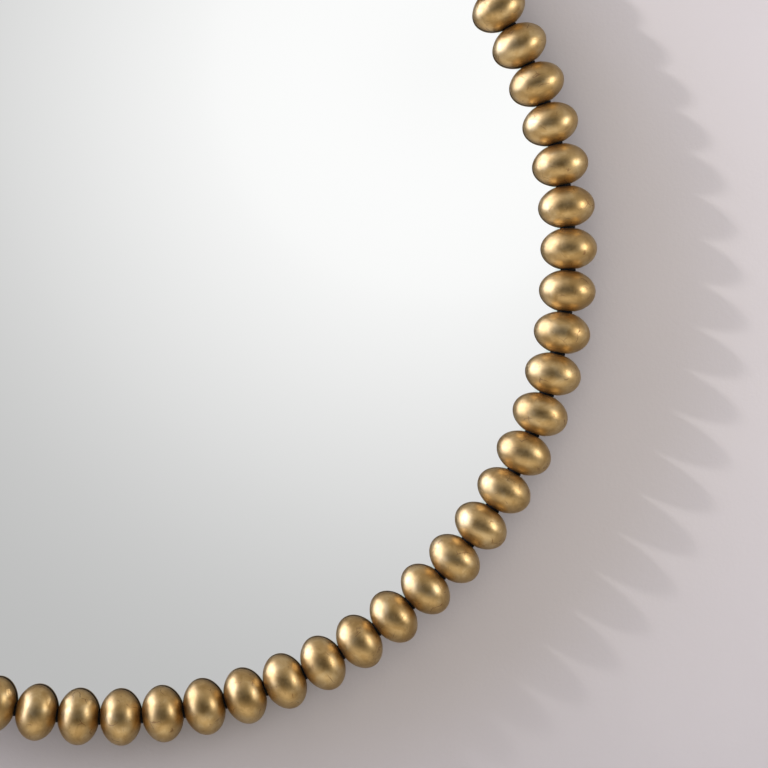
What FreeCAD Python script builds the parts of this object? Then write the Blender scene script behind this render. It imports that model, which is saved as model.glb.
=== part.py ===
import FreeCAD, Part
import math
import os

# A round wall mirror with a ring of strung beads. Millimetres, +Z up. The wall is the plane y = 0,
# the mirror faces -Y, and the ring's axis is the Y axis. Angles go round that axis from +X to +Z.

# Beads, strung on the hoop with a spacer or a tab in each gap
bead_count = 69
bead_diameter = 52.4
bead_width = 39.13
first_bead_angle = 0.63
bead_bore_lip = 1.0
bead_flat_margin = 1.5
bead_seat_depth = 7.5
bead_glass_gap = 0.5

# Hoop, its spacers and the sleeve over its butt joint
hoop_rod_diameter = 8.0
hoop_end_gap = 1.0
hoop_clearance = 0.15
spacer_wall = 2.15
spacer_thickness = 1.3
spacer_play = 0.06
sleeve_end_margin = 3.2
sleeve_wall = 1.4

# Tabs from the hoop to the board, with a nut on each foot
tab_count = 12
tab_width = 10.0
tab_foot_length = 17.0
tab_bend_radius = 1.5
tab_hole_distance = 10.0
nut_flats = 7.0
nut_height = 3.2
nut_reveal = 1.0

# Pane, tape, board and the foam strips that close the pane's edge under the beads
glass_thickness = 4.0
glass_edge_gap = 0.5
glass_arris = 0.8
tape_thickness = 1.0
tape_width = 25.0
tape_spacing = 120.0
tape_strip_count = 6
tape_margin = 25.0
board_thickness = 9.0
board_edge_radius = 0.8
strip_clearance = 0.2

# Wall bumpers
bumper_count = 4
bumper_diameter = 22.0
bumper_height = 8.0
bumper_inset = 40.0
bumper_edge_radius = 1.5
bumper_seat_depth = 4.2
bumper_seat_clearance = 0.75

# Strap hangers and their rings
hanger_inset = 120.0
hanger_angle = 41.0
strap_width = 16.0
strap_thickness = 1.5
ring_wire = 3.2
ring_corner_radius = 4.0
ring_side_length = 2.0
ring_side_play = 1.3
knuckle_clearance = 0.08
hanger_screw_margin = 1.5

# Screws: machine screws through the board to the tabs, wood screws for the hangers and bumpers
tab_screw_diameter = 4.0
tab_screw_head = 8.0
wood_screw_diameter = 3.9
wood_screw_head = 7.5
wood_screw_head_height = 2.4
wood_screw_point = 3.0
wood_screw_cover = 2.5
screw_clearance = 0.05
recess_width = 1.0
recess_depth = 1.3
recess_share = 0.55

Vector = FreeCAD.Vector
Y_AXIS = Vector(0, 1, 0)
Z_AXIS = Vector(0, 0, 1)
INTO_BOARD = FreeCAD.Rotation(Z_AXIS, Vector(0, -1, 0))

# Ring geometry that follows from the beads: the flats at a bead's ends seat on the spacers, and
# neighbouring flats lean towards each other by the pitch angle, which closes the gap at the inner side
pitch_angle = 360.0 / bead_count
half_pitch = math.radians(pitch_angle / 2)
spacer_radius = hoop_rod_diameter / 2 + hoop_clearance + spacer_wall
bead_flat_radius = spacer_radius + bead_flat_margin

# The bead's section is a four-centre oval: a round rim that runs into two flatter cheeks, where the
# radii of rim and cheek lean from the bead's axis by the same angle
bead_diagonal = math.hypot(bead_diameter, bead_width) / 2
bead_flattening = (bead_diameter - bead_width) / 2
rim_radius = bead_diagonal * (bead_diagonal - bead_flattening) / bead_diameter
cheek_radius = bead_diagonal * (bead_diagonal + bead_flattening) / bead_width
cheek_lean = math.atan2(bead_width, bead_diameter)


def sagitta(circle_radius, chord):
    """Height of a circle's arc over a chord."""
    return circle_radius - math.sqrt(circle_radius ** 2 - (chord / 2) ** 2)


def bead_half_width(radius):
    """Half the bead's width along the hoop at a distance from its own axis, on its cheeks."""
    return bead_width / 2 - sagitta(cheek_radius, 2 * radius)


flat_half_width = bead_half_width(bead_flat_radius)
bead_circle_radius = spacer_radius + (
    spacer_thickness / 2 + spacer_play + flat_half_width * math.cos(half_pitch)
) / math.sin(half_pitch)
bore_sagitta = sagitta(bead_circle_radius, 2 * flat_half_width)
hoop_radius = bead_circle_radius + bore_sagitta / 2
bead_bore_radius = hoop_rod_diameter / 2 + bore_sagitta / 2 + hoop_clearance
sleeve_length = 2 * (flat_half_width - sleeve_end_margin)
sleeve_sagitta = sagitta(hoop_radius, sleeve_length)
sleeve_bore_radius = hoop_rod_diameter / 2 + sleeve_sagitta / 2 + hoop_clearance
sleeve_radius = sleeve_bore_radius + sleeve_wall
sleeve_circle_radius = hoop_radius - sleeve_sagitta / 2
joint_bore_radius = sleeve_radius + abs(sleeve_circle_radius - bead_circle_radius) + hoop_clearance
joint_bead = round((270 - first_bead_angle) / pitch_angle)

# Radii and depths of the layers behind the ring
tab_thickness = spacer_thickness
glass_radius = hoop_radius - spacer_radius - glass_edge_gap
board_radius = hoop_radius + spacer_radius
board_back = -bumper_height
board_front = board_back - board_thickness
glass_back = board_front - tape_thickness
glass_front = glass_back - glass_thickness
bead_back = glass_front - bead_glass_gap
hoop_depth = bead_back - bead_seat_depth

# Hanger geometry: the ring's bar turns in the strap's rolled knuckle
knuckle_bore_radius = ring_wire / 2 + knuckle_clearance
knuckle_radius = knuckle_bore_radius + strap_thickness
knuckle_depth = board_back + knuckle_radius
ring_bar_half = strap_width / 2 + ring_side_play
ring_half_width = ring_bar_half + ring_corner_radius
ring_reach = ring_corner_radius + ring_side_length + ring_half_width
upper_hole_drop = knuckle_radius + wood_screw_head / 2 + hanger_screw_margin
lower_hole_drop = ring_reach + ring_wire / 2 + wood_screw_head / 2 + hanger_screw_margin
hanger_radius = board_radius - hanger_inset
hanger_x = hanger_radius * math.cos(math.radians(hanger_angle))
hanger_z = hanger_radius * math.sin(math.radians(hanger_angle))
bumper_circle_radius = board_radius - bumper_inset


def on_ring(shape, angle, radius, depth):
    """Copy of a shape set on the ring: its x goes outwards, its y to the wall, its z along the hoop."""
    turn = math.radians(angle)
    place = Vector(radius * math.cos(turn), depth, radius * math.sin(turn))
    copy = shape.copy()
    copy.Placement = FreeCAD.Placement(place, FreeCAD.Rotation(Y_AXIS, -angle))
    return copy


def into_board(shape, x, depth, z):
    """Copy of a screw-like shape, turned so that its z goes from the wall into the board."""
    copy = shape.copy()
    copy.Placement = FreeCAD.Placement(Vector(x, depth, z), INTO_BOARD)
    return copy


def turned(points):
    """Solid of revolution about z from the outline of its half section, as (radius, z) pairs."""
    outline = Part.makePolygon([Vector(radius, 0, z) for radius, z in points + points[:1]])
    return Part.Face(outline).revolve(Vector(), Z_AXIS, 360)


def disc(radius, front, back, edge):
    """Disc about the ring's axis with both rims rounded."""
    blank = Part.makeCylinder(radius, back - front, Vector(0, front, 0), Y_AXIS)
    return blank.makeFillet(edge, [rim for rim in blank.Edges if isinstance(rim.Curve, Part.Circle)])


def bead(bore_radius):
    """Flattened round bead about z, bored through, with flats at its ends and a flat back over the pane."""
    flat_radius = max(bead_flat_radius, bore_radius + bead_bore_lip)
    flat_lean = math.asin(flat_radius / cheek_radius)
    cheek_centre = bead_width / 2 - cheek_radius

    def on_cheek(lean, side):
        height = cheek_centre + cheek_radius * math.cos(lean)
        return Vector(cheek_radius * math.sin(lean), 0, side * height)

    outline = [
        Part.Arc(on_cheek(cheek_lean, -1), Vector(bead_diameter / 2, 0, 0), on_cheek(cheek_lean, 1)).toShape(),
    ]
    for side in (-1, 1):
        flat_edge = on_cheek(flat_lean, side)
        middle = on_cheek((flat_lean + cheek_lean) / 2, side)
        outline.append(Part.Arc(flat_edge, middle, on_cheek(cheek_lean, side)).toShape())
        outline.append(Part.makeLine(Vector(bore_radius, 0, flat_edge.z), flat_edge))
    half = bead_half_width(flat_radius)
    outline.append(Part.makeLine(Vector(bore_radius, 0, -half), Vector(bore_radius, 0, half)))
    section = Part.Face(Part.Wire(Part.__sortEdges__(outline)))
    sawn_off = Part.makeBox(
        bead_diameter, bead_diameter, bead_width,
        Vector(-bead_diameter / 2, bead_seat_depth, -bead_width / 2),
    )
    return section.revolve(Vector(), Z_AXIS, 360).cut(sawn_off)


def tube(outer_radius, inner_radius, length):
    """Round tube about z, centred on the origin."""
    return turned([
        (inner_radius, -length / 2),
        (outer_radius, -length / 2),
        (outer_radius, length / 2),
        (inner_radius, length / 2),
    ])


def hoop(joint_angle):
    """Rod rolled to a ring, with its two ends facing each other across a small gap."""
    section = Part.Wire(Part.Circle(Vector(hoop_radius, 0, 0), Z_AXIS, hoop_rod_diameter / 2).toShape())
    gap_angle = math.degrees(hoop_end_gap / hoop_radius)
    ring = Part.Face(section).revolve(Vector(), Y_AXIS, 360 - gap_angle)
    ring.rotate(Vector(), Y_AXIS, gap_angle / 2 - joint_angle)
    ring.translate(Vector(0, hoop_depth, 0))
    return ring


def tab():
    """Bent plate in a gap: an eye on the hoop, a leg to the board and a foot along the board."""
    drop = board_front - hoop_depth
    half = tab_thickness / 2
    outer_bend = tab_bend_radius + tab_thickness
    mid = math.sqrt(0.5)
    inner_centre = Vector(0, drop - outer_bend, -half + outer_bend)
    foot_end = -half + tab_foot_length

    def bend(radius):
        start = inner_centre + Vector(0, 0, -radius)
        middle = inner_centre + Vector(0, radius * mid, -radius * mid)
        return start, middle, inner_centre + Vector(0, radius, 0)

    outer = bend(outer_bend)
    inner = bend(tab_bend_radius)
    outline = Part.Wire([
        Part.makeLine(Vector(0, 0, -half), outer[0]),
        Part.Arc(*outer).toShape(),
        Part.makeLine(outer[2], Vector(0, drop, foot_end)),
        Part.makeLine(Vector(0, drop, foot_end), Vector(0, drop - tab_thickness, foot_end)),
        Part.makeLine(Vector(0, drop - tab_thickness, foot_end), inner[2]),
        Part.Arc(inner[2], inner[1], inner[0]).toShape(),
        Part.makeLine(inner[0], Vector(0, 0, half)),
        Part.makeLine(Vector(0, 0, half), Vector(0, 0, -half)),
    ])
    strip = Part.Face(outline).extrude(Vector(tab_width, 0, 0))
    strip.translate(Vector(-tab_width / 2, 0, 0))
    eye = Part.makeCylinder(spacer_radius, tab_thickness, Vector(0, 0, -half), Z_AXIS)
    rod_hole = Part.makeCylinder(
        hoop_rod_diameter / 2 + hoop_clearance, tab_thickness, Vector(0, 0, -half), Z_AXIS
    )
    screw_hole = Part.makeCylinder(
        tab_screw_diameter / 2 + screw_clearance,
        tab_thickness,
        Vector(0, drop - tab_thickness, tab_hole_distance),
        Y_AXIS,
    )
    return strip.fuse(eye).cut(rod_hole).cut(screw_hole).removeSplitter()


def tab_nut():
    """Hex nut about y, standing on the foot's front face at the foot's hole."""
    seat = board_front - tab_thickness - hoop_depth
    centre = Vector(0, seat, tab_hole_distance)
    corner = nut_flats / 2 / math.cos(math.radians(30))
    turns = [math.radians(60 * i) for i in range(7)]
    corners = [centre + Vector(math.cos(turn), 0, math.sin(turn)) * corner for turn in turns]
    blank = Part.Face(Part.makePolygon(corners)).extrude(Vector(0, -nut_height, 0))
    return blank.cut(Part.makeCylinder(
        tab_screw_diameter / 2 + screw_clearance, nut_height, centre - Y_AXIS * nut_height, Y_AXIS
    ))


def cross_recess(head, top):
    """Cutter for a cross recess in a screw head whose outer face lies at z = top."""
    long_side = head * recess_share
    bars = [
        Part.makeBox(wide, deep, recess_depth, Vector(-wide / 2, -deep / 2, top))
        for wide, deep in ((long_side, recess_width), (recess_width, long_side))
    ]
    return bars[0].fuse(bars[1])


def countersunk_screw(length):
    """Machine screw about z with its flat head's face at z = 0."""
    shank = tab_screw_diameter / 2
    head = tab_screw_head / 2
    blank = turned([(0, 0), (head, 0), (shank, head - shank), (shank, length), (0, length)])
    return blank.cut(cross_recess(tab_screw_head, 0))


def pan_screw(length):
    """Wood screw about z with its pan head seated at z = 0 and its point at z = length."""
    shank = wood_screw_diameter / 2
    body = turned([(0, 0), (shank, 0), (shank, length - wood_screw_point), (0, length)])
    head = Part.makeCylinder(
        wood_screw_head / 2, wood_screw_head_height, Vector(0, 0, -wood_screw_head_height), Z_AXIS
    )
    crown = [
        rim for rim in head.Edges
        if isinstance(rim.Curve, Part.Circle) and rim.CenterOfMass.z < -wood_screw_head_height / 2
    ]
    head = head.makeFillet(wood_screw_head_height / 2, crown)
    screw = body.fuse(head).removeSplitter()
    return screw.cut(cross_recess(wood_screw_head, -wood_screw_head_height))


def wood_screw_hole(length):
    """Cutter for the hole that a wood screw's shank fills."""
    radius = wood_screw_diameter / 2 + screw_clearance
    return Part.makeCylinder(radius, length + screw_clearance, Vector(), Z_AXIS)


def tape_strip(x):
    """Upright strip of tape between board and pane, as long as the pane allows at its place."""
    rim = glass_radius - tape_margin
    half = math.sqrt(rim ** 2 - (abs(x) + tape_width / 2) ** 2)
    return Part.makeBox(tape_width, tape_thickness, 2 * half, Vector(x - tape_width / 2, glass_back, -half))


def edge_strip(start, end):
    """Foam arc from one tab to the next, on the board and round the pane's edge."""
    inner = glass_radius + glass_edge_gap
    front = bead_back + strip_clearance
    corners = [
        Vector(inner, board_front, 0),
        Vector(board_radius, board_front, 0),
        Vector(board_radius, front, 0),
        Vector(inner, front, 0),
    ]
    section = Part.Face(Part.makePolygon(corners + corners[:1]))
    margin = math.degrees((tab_thickness / 2 + strip_clearance) / hoop_radius)
    arc = section.revolve(Vector(), Y_AXIS, end - start - 2 * margin)
    arc.rotate(Vector(), Y_AXIS, margin - end)
    nut_top = board_front - tab_thickness - nut_height - strip_clearance
    pocket = Part.makeBox(
        tab_width + 2 * strip_clearance, board_front - nut_top, tab_foot_length,
        Vector(-tab_width / 2 - strip_clearance, nut_top - hoop_depth, 0),
    )
    return arc.cut(on_ring(pocket, start, hoop_radius, hoop_depth))


def bumper():
    """Rubber disc about z from the wall at z = 0 to the board, with a sunk seat for its screw."""
    radius = bumper_diameter / 2
    seat = wood_screw_head / 2 + bumper_seat_clearance
    hole = wood_screw_diameter / 2 + screw_clearance
    blank = turned([
        (hole, bumper_seat_depth),
        (seat, bumper_seat_depth),
        (seat, 0),
        (radius, 0),
        (radius, bumper_height),
        (hole, bumper_height),
    ])
    rim = [
        edge for edge in blank.Edges
        if isinstance(edge.Curve, Part.Circle)
        and abs(edge.Curve.Radius - radius) < 1e-6
        and abs(edge.CenterOfMass.z) < 1e-6
    ]
    return blank.makeFillet(bumper_edge_radius, rim)


def hanger_strap():
    """Strap below a rolled knuckle whose axis is x through the origin; the board is on the -Y side."""
    knuckle = Part.makeCylinder(
        knuckle_radius, strap_width, Vector(-strap_width / 2, 0, 0), Vector(1, 0, 0)
    )
    plate = Part.makeBox(
        strap_width, strap_thickness, lower_hole_drop,
        Vector(-strap_width / 2, -knuckle_radius, -lower_hole_drop),
    )
    round_end = Part.makeCylinder(
        strap_width / 2, strap_thickness, Vector(0, -knuckle_radius, -lower_hole_drop), Y_AXIS
    )
    strap = knuckle.fuse([plate, round_end])
    strap = strap.cut(Part.makeCylinder(
        knuckle_bore_radius, strap_width, Vector(-strap_width / 2, 0, 0), Vector(1, 0, 0)
    ))
    for drop in (upper_hole_drop, lower_hole_drop):
        strap = strap.cut(Part.makeCylinder(
            wood_screw_diameter / 2 + screw_clearance, strap_thickness,
            Vector(0, -knuckle_radius, -drop), Y_AXIS,
        ))
    return strap.removeSplitter()


def hanger_ring():
    """Wire D-ring in the plane y = 0, with its bar on the x axis and its bow upwards."""
    corner = ring_corner_radius
    bar = ring_bar_half
    side = ring_half_width
    shoulder = corner + ring_side_length
    mid = corner * math.sqrt(0.5)
    path = Part.Wire([
        Part.makeLine(Vector(-bar, 0, 0), Vector(bar, 0, 0)),
        Part.Arc(Vector(bar, 0, 0), Vector(bar + mid, 0, corner - mid), Vector(side, 0, corner)).toShape(),
        Part.makeLine(Vector(side, 0, corner), Vector(side, 0, shoulder)),
        Part.Arc(Vector(side, 0, shoulder), Vector(0, 0, ring_reach), Vector(-side, 0, shoulder)).toShape(),
        Part.makeLine(Vector(-side, 0, shoulder), Vector(-side, 0, corner)),
        Part.Arc(Vector(-side, 0, corner), Vector(-bar - mid, 0, corner - mid), Vector(-bar, 0, 0)).toShape(),
    ])
    section = Part.Wire(Part.Circle(Vector(-bar, 0, 0), Vector(1, 0, 0), ring_wire / 2).toShape())
    return path.makePipeShell([section], True, False)


def save(name, *solids):
    """Write one node: a single solid, or a group of separate ones."""
    shape = solids[0] if len(solids) == 1 else Part.makeCompound(list(solids))
    shape.exportStep(f"parts/{name}.step")


os.makedirs("parts", exist_ok=True)

# Beads, in runs from one tab to the next
plain_bead = bead(bead_bore_radius)
sleeved_bead = bead(joint_bore_radius)
tab_gaps = [i * bead_count // tab_count for i in range(tab_count)]
run_ends = tab_gaps[1:] + [tab_gaps[0] + bead_count]
for run, (before, last) in enumerate(zip(tab_gaps, run_ends), start=1):
    beads = []
    for index in range(before + 1, last + 1):
        shape = sleeved_bead if index == joint_bead else plain_bead
        angle = first_bead_angle + index * pitch_angle
        beads.append(on_ring(shape, angle, bead_circle_radius, hoop_depth))
    save(f"bead_run_{run:02d}", *beads)

# Hoop with its sleeve and spacers
joint_angle = first_bead_angle + joint_bead * pitch_angle
save("bead_hoop", hoop(joint_angle))
sleeve = tube(sleeve_radius, sleeve_bore_radius, sleeve_length)
save("hoop_sleeve", on_ring(sleeve, joint_angle, sleeve_circle_radius, hoop_depth))
spacer = tube(spacer_radius, hoop_rod_diameter / 2 + hoop_clearance, spacer_thickness)
gap_angles = [first_bead_angle + (index + 0.5) * pitch_angle for index in range(bead_count)]
save("bead_spacers", *[
    on_ring(spacer, angle, hoop_radius, hoop_depth)
    for index, angle in enumerate(gap_angles) if index not in tab_gaps
])

# Tabs, their nuts and the screws that hold them from the back of the board
plate = tab()
nut = tab_nut()
tab_angles = [gap_angles[index] for index in tab_gaps]
for number, angle in enumerate(tab_angles, start=1):
    save(f"hoop_tab_{number:02d}", on_ring(plate, angle, hoop_radius, hoop_depth))
save("tab_nuts", *[on_ring(nut, angle, hoop_radius, hoop_depth) for angle in tab_angles])
tab_screw = countersunk_screw(board_thickness + tab_thickness + nut_height - nut_reveal)
tab_screws = []
for angle in tab_angles:
    turn = math.radians(angle)
    x = hoop_radius * math.cos(turn) - tab_hole_distance * math.sin(turn)
    z = hoop_radius * math.sin(turn) + tab_hole_distance * math.cos(turn)
    tab_screws.append((x, z))
save("tab_screws", *[into_board(tab_screw, x, board_back, z) for x, z in tab_screws])

# Foam strips from tab to tab, with a pocket for each foot and its nut
next_angles = tab_angles[1:] + [tab_angles[0] + 360]
save("edge_strips", *[edge_strip(start, end) for start, end in zip(tab_angles, next_angles)])

# Bumpers and their screws
screw_grip = board_thickness - wood_screw_cover
bumper_base = bumper_height - bumper_seat_depth
bumper_screw = pan_screw(bumper_base + screw_grip)
bumper_angles = [(i + 0.5) * 360 / bumper_count for i in range(bumper_count)]
bumper_places = [
    (bumper_circle_radius * math.cos(math.radians(a)), bumper_circle_radius * math.sin(math.radians(a)))
    for a in bumper_angles
]
for number, (x, z) in enumerate(bumper_places, start=1):
    save(f"wall_bumper_{number}", into_board(bumper(), x, 0, z))
save("bumper_screws", *[into_board(bumper_screw, x, -bumper_seat_depth, z) for x, z in bumper_places])

# Hangers: strap, ring and two screws on each side
hanger_screw = pan_screw(strap_thickness + screw_grip)
strap_top = board_back + strap_thickness
hanger_holes = []
for side, x in (("left", -hanger_x), ("right", hanger_x)):
    knuckle = Vector(x, knuckle_depth, hanger_z)
    strap = hanger_strap()
    strap.translate(knuckle)
    save(f"{side}_hanger_strap", strap)
    ring = hanger_ring()
    ring.translate(knuckle)
    save(f"{side}_hanger_ring", ring)
    hanger_holes += [(x, hanger_z - upper_hole_drop), (x, hanger_z - lower_hole_drop)]
save("hanger_screws", *[into_board(hanger_screw, x, strap_top, z) for x, z in hanger_holes])

# Board with the holes for all its screws, the tape on it and the pane on the tape
board = disc(board_radius, board_front, board_back, board_edge_radius)
tab_screw_hole = turned([
    (0, 0),
    (tab_screw_head / 2 + screw_clearance, 0),
    (tab_screw_diameter / 2 + screw_clearance, (tab_screw_head - tab_screw_diameter) / 2),
    (tab_screw_diameter / 2 + screw_clearance, board_thickness),
    (0, board_thickness),
])
grip_hole = wood_screw_hole(screw_grip)
board = board.cut(
    [into_board(tab_screw_hole, x, board_back, z) for x, z in tab_screws]
    + [into_board(grip_hole, x, board_back, z) for x, z in bumper_places + hanger_holes]
)
save("backing_board", board)
strip_places = [(i - (tape_strip_count - 1) / 2) * tape_spacing for i in range(tape_strip_count)]
save("mounting_tape_strips", *[tape_strip(x) for x in strip_places])
pane = Part.makeCylinder(glass_radius, glass_thickness, Vector(0, glass_front, 0), Y_AXIS)
pane = pane.makeChamfer(glass_arris, [rim for rim in pane.Edges if isinstance(rim.Curve, Part.Circle)])
save("mirror_pane", pane)
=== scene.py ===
import math

import bmesh
import bpy
from bpy.props import FloatProperty, FloatVectorProperty, IntProperty, PointerProperty
from mathutils import Matrix, Vector, noise


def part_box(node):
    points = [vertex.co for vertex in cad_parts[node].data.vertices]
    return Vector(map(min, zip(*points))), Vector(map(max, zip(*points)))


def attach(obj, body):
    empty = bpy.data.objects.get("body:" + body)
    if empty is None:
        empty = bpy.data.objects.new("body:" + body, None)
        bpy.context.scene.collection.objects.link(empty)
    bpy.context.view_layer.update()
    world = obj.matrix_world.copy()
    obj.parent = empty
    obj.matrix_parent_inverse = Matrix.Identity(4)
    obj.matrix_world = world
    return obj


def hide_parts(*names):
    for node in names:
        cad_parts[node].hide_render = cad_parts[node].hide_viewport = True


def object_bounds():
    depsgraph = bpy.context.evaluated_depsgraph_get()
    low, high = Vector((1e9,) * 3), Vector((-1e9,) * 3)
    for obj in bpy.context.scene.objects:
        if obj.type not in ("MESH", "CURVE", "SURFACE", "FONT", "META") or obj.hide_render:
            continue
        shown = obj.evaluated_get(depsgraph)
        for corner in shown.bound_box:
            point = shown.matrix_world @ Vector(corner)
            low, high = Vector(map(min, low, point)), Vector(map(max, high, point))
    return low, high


bl_info = {
    "name": "Beaded Mirror Dresser",
    "version": (1, 0, 0),
    "blender": (4, 5, 0),
    "location": "View3D > Sidebar > Mirror",
    "description": "Gilds, silvers and paints the frame of a round beaded wall mirror and sets its stage",
    "category": "Object",
}

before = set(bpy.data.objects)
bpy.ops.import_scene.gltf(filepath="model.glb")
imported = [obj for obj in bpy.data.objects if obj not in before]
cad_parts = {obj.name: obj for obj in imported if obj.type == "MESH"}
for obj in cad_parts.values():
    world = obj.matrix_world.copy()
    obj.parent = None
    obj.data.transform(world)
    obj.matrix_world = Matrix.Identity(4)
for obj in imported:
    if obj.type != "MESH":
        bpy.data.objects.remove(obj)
cad_low, cad_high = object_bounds()

# Names and sizes read from the frame
bead_run_names = sorted(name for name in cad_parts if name.startswith("bead_run_"))
tab_names = sorted(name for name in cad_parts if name.startswith("hoop_tab_"))
bumper_names = sorted(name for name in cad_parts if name.startswith("wall_bumper_"))
run_low, run_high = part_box(bead_run_names[0])
hoop_low, hoop_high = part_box("bead_hoop")
sleeve_low, sleeve_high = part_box("hoop_sleeve")
pane_low, pane_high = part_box("mirror_pane")
board_low, board_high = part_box("backing_board")
bead_plane = (hoop_low.y + hoop_high.y) / 2
bead_radius = bead_plane - run_low.y
bead_seat = run_high.y - bead_plane
hoop_rod_radius = (hoop_high.y - hoop_low.y) / 2
sleeve_radius = (sleeve_high.y - sleeve_low.y) / 2
ring_radius = cad_high.x - bead_radius

# The ring as the photograph frames it, in its pixels
PHOTO_SIDE = 768
PHOTO_MIDDLE = 383.5
RING_CENTRE_PIXEL = (104.5, 253.2)
RING_RADIUS_PIXELS = 464.1

# Places and sizes on the stage, in metres
WALL_DEPTH = 0.0004
WALL_HALF_SIDE = 6.0
SCREEN_DEPTH = -4.2
SCREEN_HALF_SIDE = 2.6
GLOW_CENTRE = (0.37, SCREEN_DEPTH, 0.51)
KEY_PLACE = (-1.11, -0.589, 0.676)
KEY_AIM = (1.1, bead_plane, 0.15)
KEY_RADIUS = 0.03
KEY_CONE = math.radians(60)
STRIP_PLACE = (1.63, -0.6, 0.14)
STRIP_AIM = (0.2, bead_plane, 0.0)
STRIP_SIZE = (0.16, 0.7)
FILL_PLACE = (0.6, -4.0, 0.8)
FILL_AIM = (0.2, 0.0, 0.0)
FILL_SIDE = 4.0

# Brightness of the glow against the distance from its centre, as a share of its span
GLOW_SPAN = 2.0
GLOW_FADE = (1.9, 2.4)
GLOW_CURVE = (
    (0.0, 1.0), (0.2, 1.0), (0.252, 0.95), (0.426, 0.76),
    (0.487, 0.69), (0.61, 0.585), (0.733, 0.53), (1.0, 0.52),
)

# Ray depth below which the mirror is all that a ray has met: a world counts one bounce more than a sheet
SHEET_DEPTH_LIMIT = 1.5
WORLD_DEPTH_LIMIT = 2.5

# Backdrop past the wall, low and high, and the share of the wall's colour that the gold shows, a painted
# shade that darkens the wall in the gold's reflections
PALE_LOW = (0.66, 0.65, 0.64)
PALE_HIGH = (0.86, 0.855, 0.85)
WALL_SHADE_IN_GOLD = 0.6

# Tolerances of the bead meshes, in metres, and the least angles of a lip and of a sharp edge
CUT_TOLERANCE = 1e-7
CORNER_TOLERANCE = 1e-5
LIP_ANGLE = math.radians(8)
SHARP_ANGLE = math.radians(50)

# The hoop's butt joint lies at the foot of the ring
JOINT_ANGLE = math.radians(270)

# The leaf's shift and turn from bead to bead, and the hollows, which die out at a bead's ends
LEAF_STEP = Vector((0.313, 0.177, 0.239))
LEAF_TURN = 2.4
HOLLOW_WIDTH = 0.017
DIMPLE_WIDTH = 0.006
DIMPLE_SHARE = 0.2
CHEEK_POWER = 6

# The pane's arris, where its green tint starts and is full, in from the rim, and how flat its faces are
PANE_ARRIS = 0.0008
EDGE_TINT_START = 0.007
EDGE_TINT_FULL = 0.0012
FLAT_FACING = 0.99


class BeadSettings(bpy.types.PropertyGroup):
    """Sizes of the gilded beads."""

    count: IntProperty(
        name="Beads", description="Number of beads round the ring", default=69, min=3
    )
    first_angle: FloatProperty(
        name="First Bead", description="Angle of the first bead above the level line",
        default=math.radians(0.63), subtype="ANGLE",
    )
    width: FloatProperty(
        name="Width", description="Length of a bead along the hoop", default=0.03913, unit="LENGTH"
    )
    flat_half_width: FloatProperty(
        name="Flat", description="Distance of a bead's end flats from its middle",
        default=0.018626, unit="LENGTH",
    )
    bore_clearance: FloatProperty(
        name="Bore Clearance", description="Gap between the bore and what runs through it",
        default=0.00035, unit="LENGTH",
    )
    lip: FloatProperty(
        name="Lip", description="Width of the rounded edge at a bead's ends", default=0.0006, unit="LENGTH"
    )
    unevenness: FloatProperty(
        name="Unevenness", description="Depth of the hollows that hand turning leaves",
        default=0.00016, unit="LENGTH",
    )


class FinishSettings(bpy.types.PropertyGroup):
    """Colours of the finishes."""

    leaf_deep: FloatVectorProperty(
        name="Leaf in the Hollows", description="Gold leaf where it is thin", subtype="COLOR",
        default=(0.50, 0.322, 0.114),
    )
    leaf: FloatVectorProperty(
        name="Leaf", description="Gold leaf over most of a bead", subtype="COLOR",
        default=(0.612, 0.42, 0.17),
    )
    leaf_pale: FloatVectorProperty(
        name="Leaf on the Highs", description="Gold leaf where it is burnished", subtype="COLOR",
        default=(0.71, 0.53, 0.258),
    )
    bole: FloatVectorProperty(
        name="Bole", description="Red clay that shows through cracks in the leaf", subtype="COLOR",
        default=(0.20, 0.07, 0.025),
    )
    # Painted shade: this dark colour is laid on the backs of the beads, where they face the pane and the wall
    back_shade: FloatVectorProperty(
        name="Umber", description="Dark ground behind the leaf, on the backs of the beads", subtype="COLOR",
        default=(0.026, 0.017, 0.009),
    )
    silver: FloatVectorProperty(
        name="Silver", description="Tint of the silvering", subtype="COLOR", default=(0.95, 0.955, 0.95)
    )
    black: FloatVectorProperty(
        name="Black", description="Black of the painted steel, nylon and board", subtype="COLOR",
        default=(0.008, 0.0078, 0.0076),
    )
    zinc: FloatVectorProperty(
        name="Zinc", description="Plating of hangers and screws", subtype="COLOR",
        default=(0.56, 0.57, 0.58),
    )


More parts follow.
